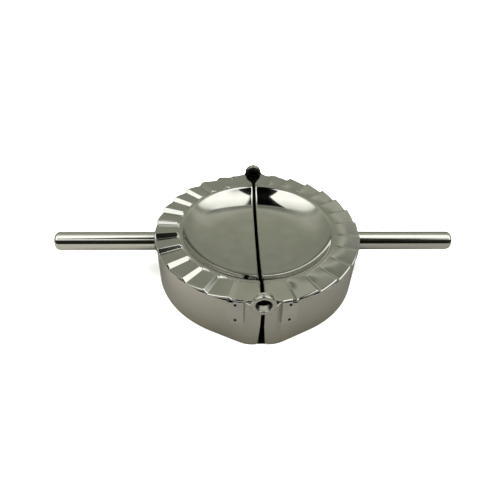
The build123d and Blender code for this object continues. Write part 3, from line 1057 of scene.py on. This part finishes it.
def addMirrored(tree, elevation, across, besideGap):  # what the metal mirrors of the room
    s = studioSettings
    beside = addNode(
        tree, "ShaderNodeMapRange", fromTo(s["beside"]),
        {"Value": addDistance(tree, across, s["besideMiddle"])})
    room = addNode(
        tree, "ShaderNodeMix", {"data_type": "RGBA"},
        {0: beside.outputs["Result"], 6: addBands(tree, elevation, s["bands"]),
         7: addBands(tree, elevation, s["sideBands"])})
    strip = addNode(tree, "ShaderNodeMapRange", fromTo(s["strip"], (1.0, 0.0)), {"Value": across})
    room = addNode(
        tree, "ShaderNodeMix", {"data_type": "RGBA", "blend_type": "LIGHTEN"},
        {0: strip.outputs["Result"], 6: room.outputs[2], 7: addBands(tree, elevation, s["stripBands"])})
    lit = addNode(
        tree, "ShaderNodeMath", {"operation": "MAXIMUM"},
        {0: besideGap, 1: addBands(tree, elevation, s["gapBands"])})
    far = addNode(
        tree, "ShaderNodeMapRange", fromTo(s["farSide"], (1.0, s["farLight"])),
        {"Value": addDistance(tree, across, 0.0)})
    lit = addNode(
        tree, "ShaderNodeMath", {"operation": "MULTIPLY"},
        {0: lit.outputs["Value"], 1: far.outputs["Result"]})
    return addNode(
        tree, "ShaderNodeMix", {"data_type": "RGBA", "blend_type": "MULTIPLY", 0: 1.0},
        {6: room.outputs[2], 7: lit.outputs["Value"]}).outputs[2]


def addElevation(tree, parts):
    angle = addNode(tree, "ShaderNodeMath", {"operation": "ARCTAN2"}, {0: parts["Z"], 1: parts["Y"]})
    turns = addNode(
        tree, "ShaderNodeMath", {"operation": "MULTIPLY_ADD", 1: 1 / (2 * math.pi), 2: turnShare(0)},
        {0: angle.outputs["Value"]})
    share = addNode(tree, "ShaderNodeMath", {"operation": "FRACT"}, {0: turns.outputs["Value"]})
    return share.outputs["Value"]


def makeRoom():
    s = studioSettings
    world = bpy.data.worlds.new("room")
    scene.world = world
    world.use_nodes = True
    tree = world.node_tree
    direction = addNode(tree, "ShaderNodeTexCoord").outputs["Generated"]
    parts = addNode(tree, "ShaderNodeSeparateXYZ", {}, {"Vector": direction}).outputs
    elevation = addElevation(tree, parts)
    # the dark gap between the panels overhead flares towards the camera
    flare = [turnShare(angle) for angle in s["gapFlare"]]
    gap = addNode(tree, "ShaderNodeMapRange", fromTo(flare, s["gap"]), {"Value": elevation})
    outside = addNode(
        tree, "ShaderNodeMath", {"operation": "SUBTRACT"},
        {0: addDistance(tree, parts["X"], s["gapMiddle"]), 1: gap.outputs["Result"]})
    besideGap = addNode(
        tree, "ShaderNodeMapRange", fromTo((0.0, s["gapEdge"])), {"Value": outside.outputs["Value"]})
    besideGap = besideGap.outputs["Result"]
    # what isn't mirrored is lit by a dome with the same gap, and the camera sees plain white
    dome = addNode(tree, "ShaderNodeMapRange", fromTo(s["domeEdge"]), {"Value": parts["Z"]})
    dome = addNode(
        tree, "ShaderNodeMath", {"operation": "MULTIPLY"}, {0: dome.outputs["Result"], 1: besideGap})
    ray = addNode(tree, "ShaderNodeLightPath").outputs
    plain = addNode(
        tree, "ShaderNodeMath", {"operation": "MAXIMUM"},
        {0: dome.outputs["Value"], 1: ray["Is Camera Ray"]})
    colour = addNode(
        tree, "ShaderNodeMix", {"data_type": "RGBA"},
        {0: ray["Is Glossy Ray"], 6: plain.outputs["Value"],
         7: addMirrored(tree, elevation, parts["X"], besideGap)})
    strength = addNode(
        tree, "ShaderNodeMapRange", fromTo((0.0, 1.0), (s["dome"], s["mirrored"])),
        {"Value": ray["Is Glossy Ray"]})
    background = tree.nodes["Background"]
    tree.links.new(colour.outputs[2], background.inputs["Color"])
    tree.links.new(strength.outputs["Result"], background.inputs["Strength"])


def makeFloor():
    s = studioSettings
    bm = bmesh.new()
    bmesh.ops.create_grid(bm, x_segments=1, y_segments=1, size=s["floor"] / 2 * mm)
    bmesh.ops.translate(bm, verts=bm.verts[:], vec=(0, 0, -s["floorDrop"] * mm))
    mesh = bpy.data.meshes.new("floor")
    bm.to_mesh(mesh)
    bm.free()
    floor = bpy.data.objects.new("floor", mesh)
    scene.collection.objects.link(floor)
    material = bpy.data.materials.new("paleFloor")
    material.use_nodes = True
    tree = material.node_tree
    shader = tree.nodes["Principled BSDF"]
    shader.inputs["Roughness"].default_value = s["floorRoughness"]
    shader.inputs["Specular IOR Level"].default_value = 0.0
    ray = addNode(tree, "ShaderNodeLightPath")
    middle = addNode(tree, "ShaderNodeTexCoord").outputs["Object"]
    place = addNode(tree, "ShaderNodeSeparateXYZ", {}, {"Vector": middle}).outputs
    # painted shade: mirror rays see the floor darker, darker again to the right and towards the far wall
    left, right = s["floorShadeInMirrors"]
    across = addNode(tree, "ShaderNodeMapRange", fromTo(inMetres(s["across"])), {"Value": place["X"]})
    before = addNode(
        tree, "ShaderNodeMix", {"data_type": "RGBA", 6: linear(left), 7: linear(right)},
        {0: across.outputs["Result"]})
    behind = addNode(tree, "ShaderNodeMapRange", fromTo(inMetres(s["behind"])), {"Value": place["Y"]})
    mirrored = addNode(
        tree, "ShaderNodeMix", {"data_type": "RGBA", 7: linear(s["floorShadeBehind"])},
        {0: behind.outputs["Result"], 6: before.outputs[2]})
    # painted shadow: the floor the camera sees is coloured dark below the slit and the right half
    reach = addNode(
        tree, "ShaderNodeMapRange", fromTo(inMetres(s["underSlit"]), inMetres(s["underRadius"])),
        {"Value": addDistance(tree, place["X"], 0.0)})
    fromMiddle = addNode(tree, "ShaderNodeVectorMath", {"operation": "LENGTH"}, {0: middle})
    under = addNode(
        tree, "ShaderNodeMath", {"operation": "LESS_THAN"},
        {0: fromMiddle.outputs["Value"], 1: reach.outputs["Result"]})
    start = addNode(tree, "ShaderNodeMapRange", fromTo(inMetres(s["underLeft"])), {"Value": place["X"]})
    under = addNode(
        tree, "ShaderNodeMath", {"operation": "MULTIPLY"},
        {0: under.outputs["Value"], 1: start.outputs["Result"]})
    seen = addNode(
        tree, "ShaderNodeMix", {"data_type": "RGBA", 6: linear(s["floorSeen"]), 7: linear(s["floorPaintedShade"])},
        {0: under.outputs["Value"]})
    colour = addNode(
        tree, "ShaderNodeMix", {"data_type": "RGBA"},
        {0: ray.outputs["Is Glossy Ray"], 6: seen.outputs[2], 7: mirrored.outputs[2]})
    tree.links.new(colour.outputs[2], shader.inputs["Base Color"])
    mesh.materials.append(material)


makeRoom()
makeFloor()
scene.view_settings.view_transform = "Standard"
print("studio made")
